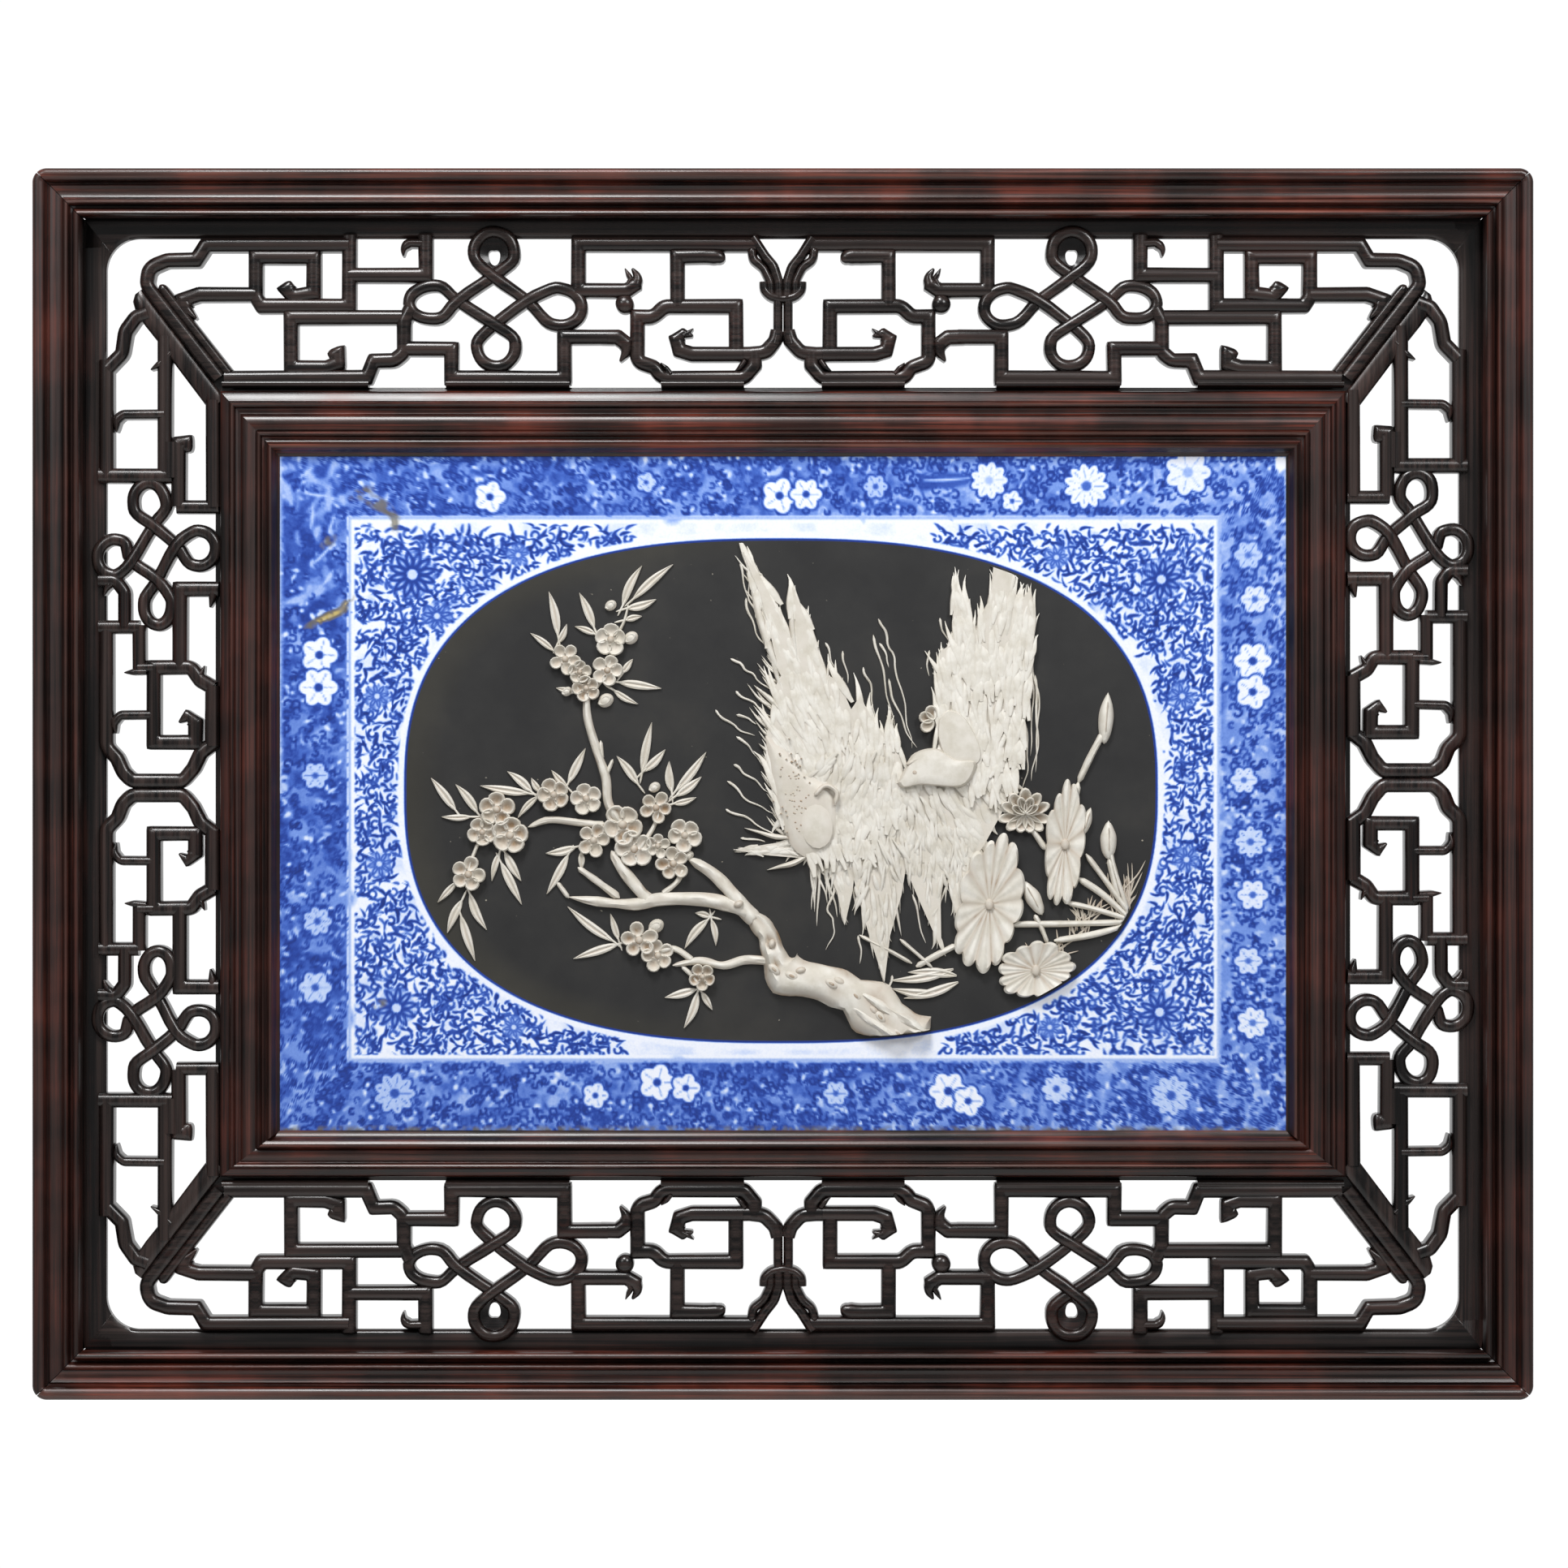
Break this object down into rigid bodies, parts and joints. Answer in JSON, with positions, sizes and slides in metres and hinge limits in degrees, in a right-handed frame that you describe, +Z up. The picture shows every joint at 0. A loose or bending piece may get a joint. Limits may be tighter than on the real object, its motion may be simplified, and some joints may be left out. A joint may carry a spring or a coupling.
{
  "type": "framed porcelain plaque",
  "caption": "Wall plaque of blue-and-white porcelain with an oval black reserve of raised prunus, bird and lotus, in a carved openwork hardwood frame.",
  "frame": {"origin": "middle of the back face of the top outer rail, where a picture hook takes the weight", "axes": "+Z up the wall, +X along it to the viewer's right, +Y out of the back into the wall; the front looks along -Y"},
  "size_m": [0.68, 0.0274, 0.558],
  "materials": {
    "rail_hardwood": "waxed, worn",
    "carved_hardwood": "waxed, dark in the recesses",
    "glazed_porcelain": "glazed porcelain, opaque, blue and white with a black reserve and white relief",
    "board_softwood": "plain, unfinished"
  },
  "bodies": {
    "root": {"outer_rail_top": "rail_hardwood", "outer_rail_bottom": "rail_hardwood", "outer_rail_left": "rail_hardwood", "outer_rail_right": "rail_hardwood", "fret_panel_top": "carved_hardwood", "fret_panel_bottom": "carved_hardwood", "fret_panel_left": "carved_hardwood", "fret_panel_right": "carved_hardwood", "inner_rail_top": "rail_hardwood", "inner_rail_bottom": "rail_hardwood", "inner_rail_left": "rail_hardwood", "inner_rail_right": "rail_hardwood", "porcelain_plaque": "glazed_porcelain", "back_board": "board_softwood"}
  },
  "joints": []
}
